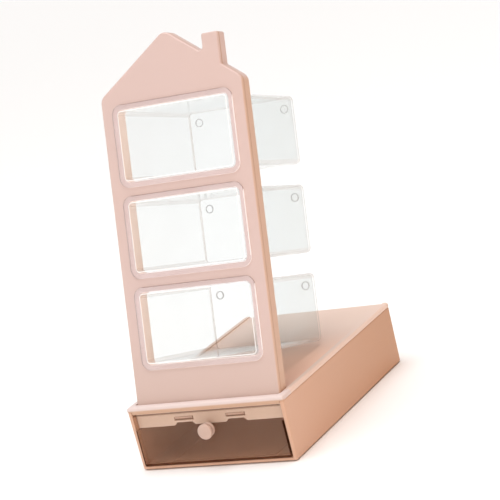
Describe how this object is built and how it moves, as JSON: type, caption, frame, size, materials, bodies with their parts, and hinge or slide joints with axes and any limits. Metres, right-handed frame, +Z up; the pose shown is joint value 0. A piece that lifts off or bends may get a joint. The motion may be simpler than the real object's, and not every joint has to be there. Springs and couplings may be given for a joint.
{
  "type": "desk organizer",
  "caption": "House-shaped desk organizer: leaning board with three clear pull-out bins on a box base with a smoked drawer.",
  "frame": {"origin": "on the desk, in the middle of the whole object's footprint, knob included", "axes": "+Z up, the drawer and the bins open towards -Y, +X to the right as seen from the front"},
  "size_m": [0.1532, 0.244, 0.3587],
  "materials": {
    "pink_plastic": "satin pink injection-moulded plastic with a fine grain",
    "clear_plastic": "clear polished plastic",
    "smoked_plastic": "brown smoked clear plastic",
    "screw_steel": "zinc-plated steel",
    "foot_rubber": "soft translucent foot pad"
  },
  "bodies": {
    "stand": {"base_shell": "pink_plastic", "top_deck": "pink_plastic", "house_front_cover": "pink_plastic", "house_back_shell": "pink_plastic", "house_screws": "screw_steel", "foot_pad_front_left": "foot_rubber", "foot_pad_front_right": "foot_rubber", "foot_pad_rear_left": "foot_rubber", "foot_pad_rear_right": "foot_rubber"},
    "drawer": {"drawer_box": "smoked_plastic", "drawer_knob": "pink_plastic", "drawer_knob_screw": "screw_steel"},
    "bottom_bin": {"bin_bottom": "clear_plastic"},
    "middle_bin": {"bin_middle": "clear_plastic"},
    "top_bin": {"bin_top": "clear_plastic"}
  },
  "joints": [
    {"name": "drawer_slide", "type": "slide", "parent": "stand", "child": "drawer", "axis": [0, -1, 0], "range_m": [0, 0.233]},
    {"name": "bottom_bin_slide", "type": "slide", "parent": "stand", "child": "bottom_bin", "axis": [0, -0.9659, 0.2588], "range_m": [0, 0.122]},
    {"name": "middle_bin_slide", "type": "slide", "parent": "stand", "child": "middle_bin", "axis": [0, -0.9659, 0.2588], "range_m": [0, 0.122]},
    {"name": "top_bin_slide", "type": "slide", "parent": "stand", "child": "top_bin", "axis": [0, -0.9659, 0.2588], "range_m": [0, 0.122]}
  ]
}
